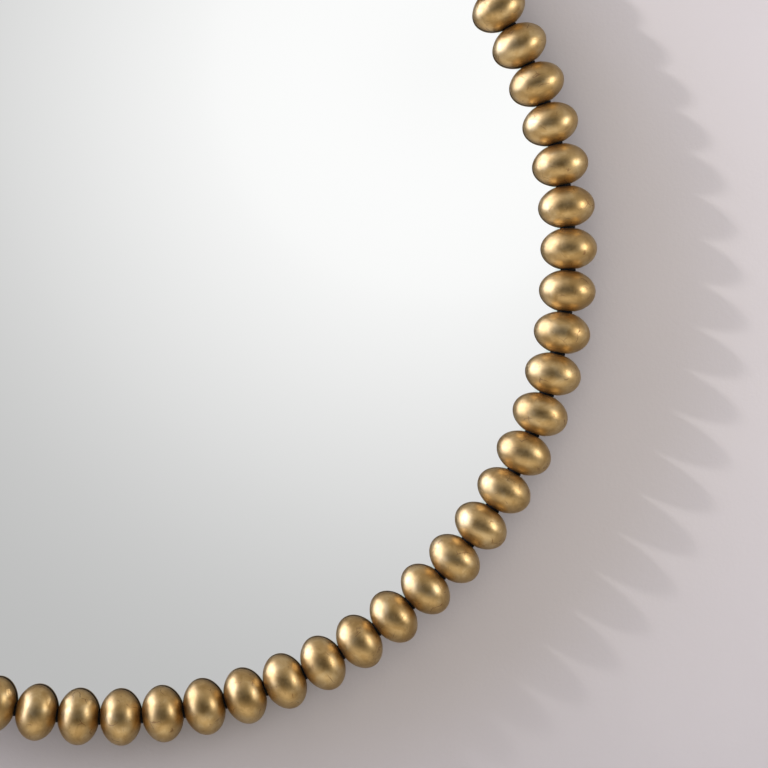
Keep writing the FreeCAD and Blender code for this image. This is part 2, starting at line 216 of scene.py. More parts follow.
class StageSettings(bpy.types.PropertyGroup):
    """Wall, lamps and camera."""

    wall: FloatVectorProperty(
        name="Wall", description="Paint of the wall", subtype="COLOR", default=(0.79, 0.745, 0.73)
    )
    camera_distance: FloatProperty(
        name="Camera Distance", description="From the camera to the beads", default=3.6, unit="LENGTH"
    )
    key_power: FloatProperty(
        name="Key Lamp", description="Power of the lamp at the upper left", default=55.0, unit="POWER"
    )
    right_power: FloatProperty(
        name="Right Strip", description="Power of the tall soft strip at the right", default=7.2, unit="POWER"
    )
    fill_power: FloatProperty(
        name="Fill", description="Power of the large soft fill", default=21.0, unit="POWER"
    )
    front_level: FloatProperty(
        name="Room in Front", description="Brightness of the room behind the camera", default=0.03
    )
    side_level: FloatProperty(
        name="Room at the Sides", description="Brightness of the room to the sides", default=0.25
    )
    floor_level: FloatProperty(
        name="Floor", description="Added brightness of the lit floor", default=0.8
    )
    window_level: FloatProperty(
        name="Window", description="Added brightness of the tall window at the left", default=6.3
    )
    ceiling_level: FloatProperty(
        name="Ceiling", description="Added brightness of the ceiling", default=0.28
    )
    rear_level: FloatProperty(
        name="Room Behind", description="Added brightness behind the wall, for views of the back",
        default=0.35,
    )
    key_tint: FloatVectorProperty(
        name="Key Colour", description="Colour of the lamp at the upper left", subtype="COLOR",
        default=(1.0, 0.965, 0.96), max=2.0,
    )
    strip_tint: FloatVectorProperty(
        name="Strip Colour", description="Colour of the tall strip", subtype="COLOR",
        default=(0.97, 0.97, 1.06), max=2.0,
    )
    daylight: FloatVectorProperty(
        name="Daylight", description="Colour of the window", subtype="COLOR",
        default=(0.84, 0.92, 1.3), max=2.0,
    )
    room_tint: FloatVectorProperty(
        name="Room Colour", description="Colour of the room's own light", subtype="COLOR",
        default=(1.05, 0.97, 0.9), max=2.0,
    )


class BeadedMirrorSettings(bpy.types.PropertyGroup):
    """Everything that a user would change."""

    beads: PointerProperty(type=BeadSettings)
    finish: PointerProperty(type=FinishSettings)
    stage: PointerProperty(type=StageSettings)


# Node building

class NodeBench:
    """Adds nodes to one tree and joins their sockets."""

    def __init__(self, tree):
        self.tree = tree

    def add(self, kind, inputs=None, **settings):
        """A node with its settings made and its inputs joined or filled."""
        node = self.tree.nodes.new(kind)
        for key, value in settings.items():
            setattr(node, key, value)
        for key, value in (inputs or {}).items():
            self.put(value, node.inputs[key])
        return node

    def put(self, value, socket):
        """Joins a socket to another, or fills it with a value."""
        if isinstance(value, bpy.types.NodeSocket):
            self.tree.links.new(value, socket)
        else:
            socket.default_value = value

    def math(self, operation, *values):
        """A Math node's result."""
        node = self.add("ShaderNodeMath", operation=operation)
        for socket, value in zip(node.inputs, values):
            self.put(value, socket)
        return node.outputs[0]

    def remap(self, value, low, high, to_low=0.0, to_high=1.0, shape="SMOOTHSTEP"):
        """A value carried from one range to another, held at its ends."""
        limits = {
            "Value": value, "From Min": low, "From Max": high, "To Min": to_low, "To Max": to_high
        }
        return self.add("ShaderNodeMapRange", limits, interpolation_type=shape).outputs["Result"]

    def mix(self, factor, first, second):
        """A colour between two colours."""
        node = self.add("ShaderNodeMix", data_type="RGBA")
        self.put(factor, node.inputs[0])
        self.put(as_colour(first), node.inputs[6])
        self.put(as_colour(second), node.inputs[7])
        return node.outputs[2]

    def times_plus(self, first, second, third=(0.0, 0.0, 0.0)):
        """Two vectors or colours multiplied part by part, with a third added."""
        inputs = {0: tuple(first), 1: second, 2: third}
        return self.add("ShaderNodeVectorMath", inputs, operation="MULTIPLY_ADD").outputs["Vector"]

    def noise(self, place, scale, detail=2.0, roughness=0.5, distortion=0.0):
        """A noise value between 0 and 1."""
        inputs = {
            "Vector": place, "Scale": scale, "Detail": detail,
            "Roughness": roughness, "Distortion": distortion,
        }
        return self.add("ShaderNodeTexNoise", inputs).outputs["Fac"]

    def stretch(self, place, scale):
        """Coordinates scaled along each axis."""
        return self.add("ShaderNodeMapping", {"Vector": place, "Scale": scale}).outputs["Vector"]

    def bump(self, height, distance, strength=1.0):
        """A normal from a height between 0 and 1."""
        inputs = {"Height": height, "Distance": distance, "Strength": strength}
        return self.add("ShaderNodeBump", inputs).outputs["Normal"]

    def group(self, tree, inputs):
        """The outputs of a shared node group."""
        node = self.add("ShaderNodeGroup", node_tree=tree)
        for key, value in inputs.items():
            self.put(value, node.inputs[key])
        return node.outputs


def as_colour(value):
    """Three numbers as a colour, anything else as it is."""
    if isinstance(value, bpy.types.NodeSocket):
        return value
    return (*value, 1.0)


def scaled(colour, factor):
    """A colour made lighter or darker."""
    return tuple(factor * part for part in colour)


def node_group(name, inputs, outputs):
    """A new node group: its tree, its bench, the sockets that lead in and the sockets that lead out."""
    tree = bpy.data.node_groups.new(name, "ShaderNodeTree")
    for label, kind in inputs.items():
        tree.interface.new_socket(label, in_out="INPUT", socket_type=kind)
    for label in outputs:
        tree.interface.new_socket(label, in_out="OUTPUT", socket_type="NodeSocketFloat")
    inlet = tree.nodes.new("NodeGroupInput").outputs
    outlet = tree.nodes.new("NodeGroupOutput").inputs
    return tree, NodeBench(tree), inlet, outlet


def surface_grain():
    """Soft patches, fine grain, and a height made of both."""
    if "surface_grain" in bpy.data.node_groups:
        return bpy.data.node_groups["surface_grain"]
    sizes = {
        "Place": "NodeSocketVector",
        "Patches per metre": "NodeSocketFloat",
        "Grains per metre": "NodeSocketFloat",
    }
    tree, bench, inlet, outlet = node_group("surface_grain", sizes, ("Patches", "Grain", "Height"))
    patches = bench.noise(inlet["Place"], inlet["Patches per metre"], 3.0, 0.55, 0.4)
    grain = bench.noise(inlet["Place"], inlet["Grains per metre"], 4.0, 0.6)
    height = bench.math("MULTIPLY_ADD", grain, 0.35, patches)
    bench.put(bench.remap(patches, 0.3, 0.7), outlet["Patches"])
    bench.put(bench.remap(grain, 0.3, 0.7), outlet["Grain"])
    bench.put(height, outlet["Height"])
    return tree


def hair_scuffs():
    """Thin straight rub marks, in two directions."""
    if "hair_scuffs" in bpy.data.node_groups:
        return bpy.data.node_groups["hair_scuffs"]
    sizes = {"Place": "NodeSocketVector", "Marks per metre": "NodeSocketFloat"}
    tree, bench, inlet, outlet = node_group("hair_scuffs", sizes, ("Scuffs",))
    along = bench.stretch(inlet["Place"], (0.06, 1.0, 1.0))
    across = bench.stretch(inlet["Place"], (1.0, 1.0, 0.05))
    first = bench.noise(along, inlet["Marks per metre"], 2.0, 0.5, 0.2)
    second = bench.noise(across, inlet["Marks per metre"], 2.0, 0.5, 0.3)
    marks = bench.math("MAXIMUM", bench.remap(first, 0.66, 0.74), bench.remap(second, 0.68, 0.76))
    bench.put(marks, outlet["Scuffs"])
    return tree


def settled_dust():
    """Dust that lies on what faces up, in uneven drifts."""
    if "settled_dust" in bpy.data.node_groups:
        return bpy.data.node_groups["settled_dust"]
    sizes = {"Place": "NodeSocketVector", "Amount": "NodeSocketFloat"}
    tree, bench, inlet, outlet = node_group("settled_dust", sizes, ("Dust",))
    facing = bench.add("ShaderNodeNewGeometry").outputs["Normal"]
    up = bench.add("ShaderNodeSeparateXYZ", {"Vector": facing}).outputs["Z"]
    drift = bench.noise(inlet["Place"], 90.0, 5.0, 0.65)
    lying = bench.math("MULTIPLY", bench.remap(up, 0.05, 0.95), bench.remap(drift, 0.3, 0.75))
    bench.put(bench.math("MULTIPLY", lying, inlet["Amount"]), outlet["Dust"])
    return tree


def new_material(name):
    """A node material: itself, its bench, its Principled shader and its Object coordinates."""
    material = bpy.data.materials.new(name)
    material.use_nodes = True
    bench = NodeBench(material.node_tree)
    shader = material.node_tree.nodes["Principled BSDF"]
    place = bench.add("ShaderNodeTexCoord").outputs["Object"]
    return material, bench, shader, place


# Finishes

def leaf_finish(finish):
    """Lacquered gold leaf over red bole: patchy, grained, puckered at the bores, and painted dark at the back
    as shade.
    """
    material, bench, shader, _ = new_material("gold_leaf_on_bole")
    place = bench.add("ShaderNodeAttribute", attribute_name="leaf_place").outputs["Vector"]
    nearness = bench.add("ShaderNodeAttribute", attribute_name="end_nearness").outputs["Fac"]
    back = bench.add("ShaderNodeAttribute", attribute_name="back_nearness").outputs["Fac"]
    grain = bench.group(
        surface_grain(), {"Place": place, "Patches per metre": 60.0, "Grains per metre": 620.0}
    )
    brushed = bench.noise(bench.stretch(place, (1.0, 1.0, 3.5)), 260.0, 3.0, 0.6, 0.6)
    warp = bench.add("ShaderNodeTexNoise", {"Vector": place, "Scale": 120.0, "Detail": 2.0})
    swayed = bench.times_plus((0.006, 0.006, 0.006), warp.outputs["Color"], place)
    seams = bench.add(
        "ShaderNodeTexVoronoi", {"Vector": swayed, "Scale": 62.0}, feature="DISTANCE_TO_EDGE"
    ).outputs["Distance"]
    patchy = bench.remap(bench.noise(place, 95.0, 2.0), 0.52, 0.68)
    cracks = bench.math("MULTIPLY", bench.remap(seams, 0.012, 0.035, 1.0, 0.0), patchy)
    pleats = bench.noise(bench.stretch(place, (1.0, 1.0, 0.1)), 330.0, 2.0, 0.5, 0.3)
    ends = bench.remap(nearness, 0.62, 0.98)
    puckers = bench.math("MULTIPLY", bench.remap(pleats, 0.5, 0.66), ends)

    tone = bench.math("MULTIPLY_ADD", brushed, 0.35, bench.math("MULTIPLY", grain["Patches"], 0.65))
    colour = bench.mix(bench.remap(tone, 0.2, 0.55), finish.leaf_deep, finish.leaf)
    colour = bench.mix(bench.remap(tone, 0.55, 0.9), colour, finish.leaf_pale)
    worn = bench.math("MAXIMUM", bench.math("MULTIPLY", cracks, 0.55), bench.math("MULTIPLY", puckers, 0.3))
    colour = bench.mix(worn, colour, finish.bole)
    # Painted shade: each bead darkens towards its back, which faces the pane and the wall
    bare = bench.remap(bench.math("MULTIPLY_ADD", brushed, 0.12, back), 0.32, 0.54)
    colour = bench.mix(bare, colour, finish.back_shade)
    rough = bench.math("MULTIPLY_ADD", grain["Grain"], 0.10, 0.38)
    rough = bench.math("MULTIPLY_ADD", worn, 0.2, rough)
    height = bench.math("MULTIPLY_ADD", brushed, 0.5, grain["Height"])
    height = bench.math("MULTIPLY_ADD", worn, -1.1, height)

    bench.put(colour, shader.inputs["Base Color"])
    bench.put(1.0, shader.inputs["Metallic"])
    bench.put(rough, shader.inputs["Roughness"])
    bench.put(bench.remap(bare, 0.0, 1.0, 0.35, 0.0), shader.inputs["Coat Weight"])
    bench.put(0.4, shader.inputs["Coat Roughness"])
    bench.put(bench.bump(height, 0.00009, 0.8), shader.inputs["Normal"])
    return material


def silvered_face(finish):
    """The front of the pane: silver seen through clear glass, a breath greener at the very edge."""
    material, bench, shader, place = new_material("silvered_face")
    radius = bench.add("ShaderNodeVectorMath", {0: place}, operation="LENGTH").outputs["Value"]
    edge = bench.remap(radius, pane_high.x - EDGE_TINT_START, pane_high.x - EDGE_TINT_FULL)
    cloud = bench.remap(bench.noise(place, 14.0, 2.0), 0.3, 0.7, 0.0, 0.012)
    tinted = bench.mix(cloud, finish.silver, (0.90, 0.93, 0.91))
    bench.put(bench.mix(edge, tinted, (0.72, 0.80, 0.76)), shader.inputs["Base Color"])
    bench.put(1.0, shader.inputs["Metallic"])
    bench.put(0.0, shader.inputs["Roughness"])
    return material


def glass_edge():
    """Ground edge of the glass: sea green, satin, with fine grinding marks."""
    material, bench, shader, place = new_material("ground_glass_edge")
    marks = bench.noise(bench.stretch(place, (1.0, 0.15, 1.0)), 900.0, 3.0, 0.6)
    bench.put(bench.mix(marks, (0.05, 0.13, 0.10), (0.16, 0.29, 0.24)), shader.inputs["Base Color"])
    bench.put(bench.remap(marks, 0.2, 0.8, 0.16, 0.38), shader.inputs["Roughness"])
    bench.put(bench.bump(marks, 0.00006, 0.6), shader.inputs["Normal"])
    return material


def backing_paint():
    """Grey protective paint on the back of the silvering."""
    material, bench, shader, place = new_material("backing_paint")
    grain = bench.group(
        surface_grain(), {"Place": place, "Patches per metre": 25.0, "Grains per metre": 700.0}
    )
    shade = bench.mix(grain["Patches"], (0.17, 0.18, 0.185), (0.22, 0.23, 0.235))
    bench.put(shade, shader.inputs["Base Color"])
    bench.put(bench.remap(grain["Grain"], 0.0, 1.0, 0.45, 0.6), shader.inputs["Roughness"])
    bench.put(bench.bump(grain["Height"], 0.00005, 0.6), shader.inputs["Normal"])
    return material


def black_finish(name, colour, patches, grains, roughness, depth, scuff=0.0, dust=0.0):
    """A black finish: its grain, its rub marks and the dust on it."""
    material, bench, shader, place = new_material(name)
    grain = bench.group(
        surface_grain(), {"Place": place, "Patches per metre": patches, "Grains per metre": grains}
    )
    scuffs = bench.group(hair_scuffs(), {"Place": place, "Marks per metre": 160.0})["Scuffs"]
    lying = bench.group(settled_dust(), {"Place": place, "Amount": dust})["Dust"]
    shade = bench.mix(grain["Patches"], colour, scaled(colour, 1.7))
    shade = bench.mix(bench.math("MULTIPLY", scuffs, scuff), shade, (0.10, 0.098, 0.095))
    shade = bench.mix(lying, shade, (0.26, 0.25, 0.235))
    rough = bench.remap(grain["Grain"], 0.0, 1.0, *roughness)
    bench.put(shade, shader.inputs["Base Color"])
    bench.put(bench.math("MULTIPLY_ADD", lying, 0.3, rough), shader.inputs["Roughness"])
    bench.put(0.12, shader.inputs["Specular IOR Level"])
    bench.put(bench.bump(grain["Height"], depth, 0.7), shader.inputs["Normal"])
    return material


def painted_board(finish):
    """Fibreboard rolled black: stipple on the faces, brown fibres at the sawn edge, dust along the top."""
    material, bench, shader, place = new_material("painted_fibreboard")
    grain = bench.group(
        surface_grain(), {"Place": place, "Patches per metre": 32.0, "Grains per metre": 480.0}
    )
    fibres = bench.noise(bench.stretch(place, (1.0, 4.0, 1.0)), 420.0, 5.0, 0.7)
    facing = bench.add("ShaderNodeNewGeometry").outputs["Normal"]
    across = bench.add("ShaderNodeSeparateXYZ", {"Vector": facing}).outputs["Y"]
    sawn = bench.remap(bench.math("ABSOLUTE", across), 0.2, 0.5, 1.0, 0.0)
    bare = bench.math("MULTIPLY", sawn, bench.remap(fibres, 0.55, 0.72))
    scuffs = bench.group(hair_scuffs(), {"Place": place, "Marks per metre": 55.0})["Scuffs"]
    lying = bench.group(settled_dust(), {"Place": place, "Amount": 0.55})["Dust"]
    shade = bench.mix(grain["Patches"], scaled(finish.black, 1.3), scaled(finish.black, 2.1))
    shade = bench.mix(bench.math("MULTIPLY", scuffs, 0.22), shade, (0.11, 0.10, 0.09))
    shade = bench.mix(bench.math("MULTIPLY", bare, 0.5), shade, (0.16, 0.105, 0.062))
    shade = bench.mix(lying, shade, (0.27, 0.255, 0.235))
    height = bench.math("MULTIPLY_ADD", fibres, bench.math("MULTIPLY", sawn, 0.8), grain["Height"])
    bench.put(shade, shader.inputs["Base Color"])
    bench.put(bench.remap(grain["Grain"], 0.0, 1.0, 0.52, 0.72), shader.inputs["Roughness"])
    bench.put(bench.bump(height, 0.00022, 0.8), shader.inputs["Normal"])
    return material


def foam_tape():
    """White foam of the mounting tape, full of small pores, with painted shade in them."""
    material, bench, shader, place = new_material("foam_tape")
    pores = bench.add("ShaderNodeTexVoronoi", {"Vector": place, "Scale": 1500.0}).outputs["Distance"]
    cloud = bench.noise(place, 60.0, 3.0)
    # Painted shade: the pores are darkened where they sink into the foam
    pore_shade = bench.remap(pores, 0.1, 0.45, 0.5, 0.0)
    shade = bench.mix(cloud, (0.60, 0.595, 0.57), (0.70, 0.695, 0.67))
    bench.put(bench.mix(pore_shade, shade, (0.38, 0.37, 0.35)), shader.inputs["Base Color"])
    bench.put(bench.remap(cloud, 0.3, 0.7, 0.75, 0.92), shader.inputs["Roughness"])
    bench.put(bench.bump(pores, 0.0002, 0.7), shader.inputs["Normal"])
    return material


def zinc_plate(finish):
    """Bright zinc with a thin blue and straw bloom and fine rub marks."""
    material, bench, shader, place = new_material("zinc_plate")
    grain = bench.group(
        surface_grain(), {"Place": place, "Patches per metre": 130.0, "Grains per metre": 1300.0}
    )
    scuffs = bench.group(hair_scuffs(), {"Place": place, "Marks per metre": 420.0})["Scuffs"]
    bloom = bench.noise(place, 75.0, 2.0, 0.5, 0.8)
    straw = bench.mix(bench.remap(bloom, 0.5, 0.72), finish.zinc, (0.62, 0.57, 0.47))
    shade = bench.mix(bench.remap(bloom, 0.3, 0.5, 0.7, 0.0), straw, (0.47, 0.52, 0.60))
    shade = bench.mix(bench.math("MULTIPLY", scuffs, 0.5), shade, (0.74, 0.74, 0.73))
    rough = bench.remap(grain["Grain"], 0.0, 1.0, 0.27, 0.42)
    bench.put(shade, shader.inputs["Base Color"])
    bench.put(1.0, shader.inputs["Metallic"])
    bench.put(bench.math("MULTIPLY_ADD", scuffs, -0.08, rough), shader.inputs["Roughness"])
    bench.put(bench.bump(grain["Height"], 0.00004, 0.7), shader.inputs["Normal"])
    return material


def paint_nodes(names, material):
    """Gives CAD nodes a finish in every material slot."""
    for name in names:
        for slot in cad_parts[name].material_slots:
            slot.material = material


# Pieces

def settings_of(context):
    """The add-on's settings in the scene."""
    return context.scene.beaded_mirror


def finished_piece(name, bm, materials, replaced):
    """A mesh piece at the origin that stands for CAD nodes and rides on the mirror."""
    mesh = bpy.data.meshes.new(name)
    bm.to_mesh(mesh)
    bm.free()
    for material in materials:
        mesh.materials.append(material)
    piece = bpy.data.objects.new(name, mesh)
    bpy.context.scene.collection.objects.link(piece)
    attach(piece, "mirror")
    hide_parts(*replaced)
    return piece


def edges_of(parts):
    """The edges among some mesh parts."""
    return [part for part in parts if isinstance(part, bmesh.types.BMEdge)]


def verts_of(parts):
    """The vertices among some mesh parts."""
    return [part for part in parts if isinstance(part, bmesh.types.BMVert)]


def cut_off(bm, at, normal):
    """Cuts away what lies beyond a plane and gives the edges of the cut."""
    cut = bmesh.ops.bisect_plane(
        bm, geom=bm.verts[:] + bm.edges[:] + bm.faces[:], dist=CUT_TOLERANCE,
        plane_co=at, plane_no=normal, clear_outer=True,
    )
    return edges_of(cut["geom_cut"])


def bored_bead(beads, bore_radius):
    """One flattened bead about z: a scaled sphere, cut flat at both ends and at the back, and bored."""
    bm = bmesh.new()
    bmesh.ops.create_uvsphere(bm, u_segments=64, v_segments=42, radius=bead_radius)
    bmesh.ops.scale(bm, vec=(1, 1, beads.width / (2 * bead_radius)), verts=bm.verts)
    for side in (1, -1):
        rim = cut_off(bm, (0, 0, side * beads.flat_half_width), (0, 0, side))
        inner = verts_of(bmesh.ops.extrude_edge_only(bm, edges=rim)["geom"])
        flat_radius = max(math.hypot(vert.co.x, vert.co.y) for vert in inner)
        shrink = bore_radius / flat_radius
        bmesh.ops.scale(bm, vec=(shrink, shrink, 1), verts=inner)
    mouths = [edge for edge in bm.edges if edge.is_boundary]
    bmesh.ops.bridge_loops(bm, edges=mouths)
    bmesh.ops.edgeloop_fill(bm, edges=cut_off(bm, (0, bead_seat, 0), (0, 1, 0)))
    bmesh.ops.recalc_face_normals(bm, faces=bm.faces)
    return bm


def is_lip(edge, beads):
    """Whether an edge lies on a corner of a bead's end flats or of its sawn back."""
    ends = all(abs(abs(vert.co.z) - beads.flat_half_width) < CORNER_TOLERANCE for vert in edge.verts)
    back = all(bead_seat - vert.co.y < CORNER_TOLERANCE for vert in edge.verts)
    return (ends or back) and edge.calc_face_angle() > LIP_ANGLE


def age_bead(bm, beads, index):
    """Hollows a bead a little, always inwards, and notes where the leaf lies on it."""
    place_layer = bm.verts.layers.float_vector.new("leaf_place")
    end_layer = bm.verts.layers.float.new("end_nearness")
    back_layer = bm.verts.layers.float.new("back_nearness")
    own_place = index * LEAF_STEP
    own_turn = Matrix.Rotation(index * LEAF_TURN, 3, "Z")
    bm.normal_update()
    for vert in bm.verts:
        place = own_turn @ vert.co + own_place
        vert[place_layer] = place
        vert[end_layer] = min(1.0, abs(vert.co.z) / beads.flat_half_width)
        vert[back_layer] = max(0.0, vert.co.y / bead_seat)
        if bead_seat - vert.co.y < beads.lip:
            continue
        cheek = 1.0 - vert[end_layer] ** CHEEK_POWER
        hollow = 0.5 + 0.5 * noise.noise(place / HOLLOW_WIDTH)
        hollow += DIMPLE_SHARE * (0.5 + 0.5 * noise.noise(place / DIMPLE_WIDTH))
        vert.co -= vert.normal * (hollow * cheek * beads.unevenness)


class MIRROR_OT_gild_beads(bpy.types.Operator):
    """Turns, bores and gilds the beads, run by run."""

    bl_idname = "mirror.gild_beads"
    bl_label = "Gild Beads"

    def execute(self, context):
        beads = settings_of(context).beads
        leaf = leaf_finish(settings_of(context).finish)
        pitch = math.tau / beads.count
        run_count = len(bead_run_names)
        gaps = [number * beads.count // run_count for number in range(run_count)]
        ends = gaps[1:] + [gaps[0] + beads.count]
        joint_bead = round((JOINT_ANGLE - beads.first_angle) / pitch)
        plain = self.turned(beads, hoop_rod_radius)
        sleeved = self.turned(beads, sleeve_radius)
        for run_name, gap, end in zip(bead_run_names, gaps, ends):
            run = bmesh.new()
            for index in range(gap + 1, end + 1):
                shape = sleeved if index % beads.count == joint_bead else plain
                self.string_bead(run, shape, beads, index, beads.first_angle + index * pitch)
            piece_name = run_name.replace("bead_run", "gilded_beads")
            piece = finished_piece(piece_name, run, [leaf], [run_name])
            piece.data.shade_smooth()
            piece.data.set_sharp_from_angle(angle=SHARP_ANGLE)
        return {"FINISHED"}

    @staticmethod
    def turned(beads, shaft_radius):
        """Mesh of one bead with its lips rounded, bored for a shaft."""
        bm = bored_bead(beads, shaft_radius + beads.bore_clearance)
        lips = [edge for edge in bm.edges if is_lip(edge, beads)]
        bmesh.ops.bevel(
            bm, geom=lips, offset=beads.lip, affect="EDGES", segments=3, profile=0.5, material=-1
        )
        mesh = bpy.data.meshes.new("turned_bead")
        bm.to_mesh(mesh)
        bm.free()
        return mesh

    @staticmethod
    def string_bead(run, shape, beads, index, angle):
        """Adds one bead to a run, turned to its place on the ring."""
        bm = bmesh.new()
        bm.from_mesh(shape)
        age_bead(bm, beads, index)
        across, up = math.cos(angle), math.sin(angle)
        seat = Matrix((
            (across, 0, -up, ring_radius * across),
            (0, 1, 0, bead_plane),
            (up, 0, across, ring_radius * up),
            (0, 0, 0, 1),
        ))
        bmesh.ops.transform(bm, matrix=seat, verts=bm.verts)
        strung = bpy.data.meshes.new("strung_bead")
        bm.to_mesh(strung)
        bm.free()
        run.from_mesh(strung)
        bpy.data.meshes.remove(strung)


class MIRROR_OT_silver_pane(bpy.types.Operator):
    """Cuts, arrises and silvers the pane."""

    bl_idname = "mirror.silver_pane"
    bl_label = "Silver Pane"

    def execute(self, context):
        finish = settings_of(context).finish
        thickness = pane_high.y - pane_low.y
        bm = bmesh.new()
        bmesh.ops.create_circle(bm, cap_ends=True, radius=pane_high.x, segments=256)
        bmesh.ops.rotate(bm, matrix=Matrix.Rotation(math.radians(90), 3, "X"), verts=bm.verts)
        back = verts_of(bmesh.ops.extrude_face_region(bm, geom=bm.faces[:])["geom"])
        bmesh.ops.translate(bm, vec=(0, thickness, 0), verts=back)
        bmesh.ops.translate(bm, vec=(0, pane_low.y, 0), verts=bm.verts)
        bmesh.ops.recalc_face_normals(bm, faces=bm.faces)
        rims = [edge for edge in bm.edges if abs(edge.verts[0].co.y - edge.verts[1].co.y) < thickness / 2]
        bmesh.ops.bevel(
            bm, geom=rims, offset=PANE_ARRIS, affect="EDGES", segments=1, profile=0.5, material=-1
        )
        bm.normal_update()
        for face in bm.faces:
            if abs(face.normal.y) < FLAT_FACING:
                face.material_index = 1
            elif face.normal.y > 0:
                face.material_index = 2
        materials = [silvered_face(finish), glass_edge(), backing_paint()]
        finished_piece("silvered_pane", bm, materials, ["mirror_pane"])
        return {"FINISHED"}


class MIRROR_OT_blacken_hoop(bpy.types.Operator):
    """Powder coats the hoop and tabs and finishes the nylon spacers and the foam edge strips."""

    bl_idname = "mirror.blacken_hoop"
    bl_label = "Blacken Hoop"

    def execute(self, context):
        black = tuple(settings_of(context).finish.black)
        coat = black_finish(
            "powder_coat", black, patches=260.0, grains=1500.0, roughness=(0.65, 0.8), depth=0.00006,
            scuff=0.04, dust=0.05,
        )
        nylon = black_finish(
            "moulded_nylon", black, patches=420.0, grains=2100.0, roughness=(0.7, 0.85), depth=0.00003,
            scuff=0.02, dust=0.02,
        )
        foam = black_finish(
            "black_foam", black, patches=350.0, grains=1800.0, roughness=(0.85, 0.95), depth=0.00015
        )
        paint_nodes(["bead_hoop", *tab_names], coat)
        paint_nodes(["bead_spacers"], nylon)
        paint_nodes(["edge_strips"], foam)
        return {"FINISHED"}


class MIRROR_OT_paint_board(bpy.types.Operator):
    """Paints the backing board and finishes the mounting tape."""

    bl_idname = "mirror.paint_board"
    bl_label = "Paint Board"

    def execute(self, context):
        paint_nodes(["backing_board"], painted_board(settings_of(context).finish))
        paint_nodes(["mounting_tape_strips"], foam_tape())
        return {"FINISHED"}


class MIRROR_OT_plate_fittings(bpy.types.Operator):
    """Zinc plates the sleeve, hangers, nuts and screws."""

    bl_idname = "mirror.plate_fittings"
    bl_label = "Plate Fittings"

    def execute(self, context):
        fittings = ["hoop_sleeve", "tab_nuts", "tab_screws", "hanger_screws", "bumper_screws"]
        hangers = [f"{side}_hanger_{part}" for side in ("left", "right") for part in ("strap", "ring")]
        paint_nodes(fittings + hangers, zinc_plate(settings_of(context).finish))
        return {"FINISHED"}


class MIRROR_OT_mould_bumpers(bpy.types.Operator):
    """Finishes the rubber bumpers."""

    bl_idname = "mirror.mould_bumpers"
    bl_label = "Mould Bumpers"

    def execute(self, context):
        rubber = black_finish(
            "bumper_rubber", (0.022, 0.021, 0.02), patches=180.0, grains=1200.0, roughness=(0.62, 0.8),
            depth=0.00008, scuff=0.1, dust=0.5,
        )
        paint_nodes(bumper_names, rubber)
        return {"FINISHED"}


# Stage

def wall_paint(colour):
    """Painted plaster, clear from behind so that the back can be seen and lit, and darkened by painted shade
    where the gold reflects it.
    """
    material, bench, shader, place = new_material("painted_wall")
    grain = bench.group(
        surface_grain(), {"Place": place, "Patches per metre": 7.0, "Grains per metre": 260.0}
    )
    path = bench.add("ShaderNodeLightPath").outputs
    shade = bench.mix(grain["Patches"], colour, scaled(colour, 1.02))
    # Painted shade: the wall is shown darker in the gold's reflections than it is lit
    shade = bench.mix(path["Is Glossy Ray"], shade, scaled(colour, WALL_SHADE_IN_GOLD))
    bench.put(shade, shader.inputs["Base Color"])
    bench.put(0.9, shader.inputs["Roughness"])
    bench.put(0.2, shader.inputs["Specular IOR Level"])
    bench.put(bench.bump(grain["Grain"], 0.00012, 0.5), shader.inputs["Normal"])
    behind = bench.add("ShaderNodeNewGeometry").outputs["Backfacing"]
    radius = bench.add("ShaderNodeVectorMath", {0: place}, operation="LENGTH").outputs["Value"]
    covered = bench.math("LESS_THAN", radius, board_high.x)
    not_seen = bench.math("MULTIPLY", covered, path["Is Glossy Ray"])
    passing = bench.math("MAXIMUM", path["Is Diffuse Ray"], path["Is Shadow Ray"])
    passing = bench.math("MAXIMUM", passing, bench.math("MAXIMUM", behind, not_seen))
    clear = bench.add("ShaderNodeBsdfTransparent").outputs["BSDF"]
    mixed = bench.add("ShaderNodeMixShader", {0: passing, 1: shader.outputs["BSDF"], 2: clear})
    bench.put(mixed.outputs["Shader"], material.node_tree.nodes["Material Output"].inputs["Surface"])
    return material


def glow_paint():
    """The bright soft screen that only the mirror shows, fading away from its brightest place."""
    material, bench, _, place = new_material("mirror_glow")
    reach = bench.add(
        "ShaderNodeVectorMath", {0: place, 1: GLOW_CENTRE}, operation="DISTANCE"
    ).outputs["Value"]
    curve = bench.add("ShaderNodeFloatCurve", {"Value": bench.math("DIVIDE", reach, GLOW_SPAN)})
    points = curve.mapping.curves[0].points
    for at, level in GLOW_CURVE[1:-1]:
        points.new(at, level)
    points[0].location = GLOW_CURVE[0]
    points[-1].location = GLOW_CURVE[-1]
    curve.mapping.update()
    glow = bench.add("ShaderNodeEmission", {"Strength": curve.outputs["Value"]})
    path = bench.add("ShaderNodeLightPath").outputs
    first = bench.math("LESS_THAN", path["Ray Depth"], SHEET_DEPTH_LIMIT)
    shown = bench.math("MULTIPLY", path["Is Singular Ray"], first)
    fading = bench.remap(reach, *GLOW_FADE, 1.0, 0.0)
    clear = bench.add("ShaderNodeBsdfTransparent").outputs["BSDF"]
    mixed = bench.add(
        "ShaderNodeMixShader",
        {0: bench.math("MULTIPLY", shown, fading), 1: clear, 2: glow.outputs["Emission"]},
    )
    bench.put(mixed.outputs["Shader"], material.node_tree.nodes["Material Output"].inputs["Surface"])
    return material


def upright_sheet(name, half_side, depth, material):
    """A large square stage sheet across the view, facing the camera."""
    bm = bmesh.new()
    bmesh.ops.create_grid(bm, x_segments=1, y_segments=1, size=half_side)
    bmesh.ops.rotate(bm, matrix=Matrix.Rotation(math.radians(90), 3, "X"), verts=bm.verts)
    bmesh.ops.translate(bm, vec=(0, depth, 0), verts=bm.verts)
    mesh = bpy.data.meshes.new(name)
    bm.to_mesh(mesh)
    bm.free()
    mesh.materials.append(material)
    sheet = bpy.data.objects.new(name, mesh)
    bpy.context.scene.collection.objects.link(sheet)


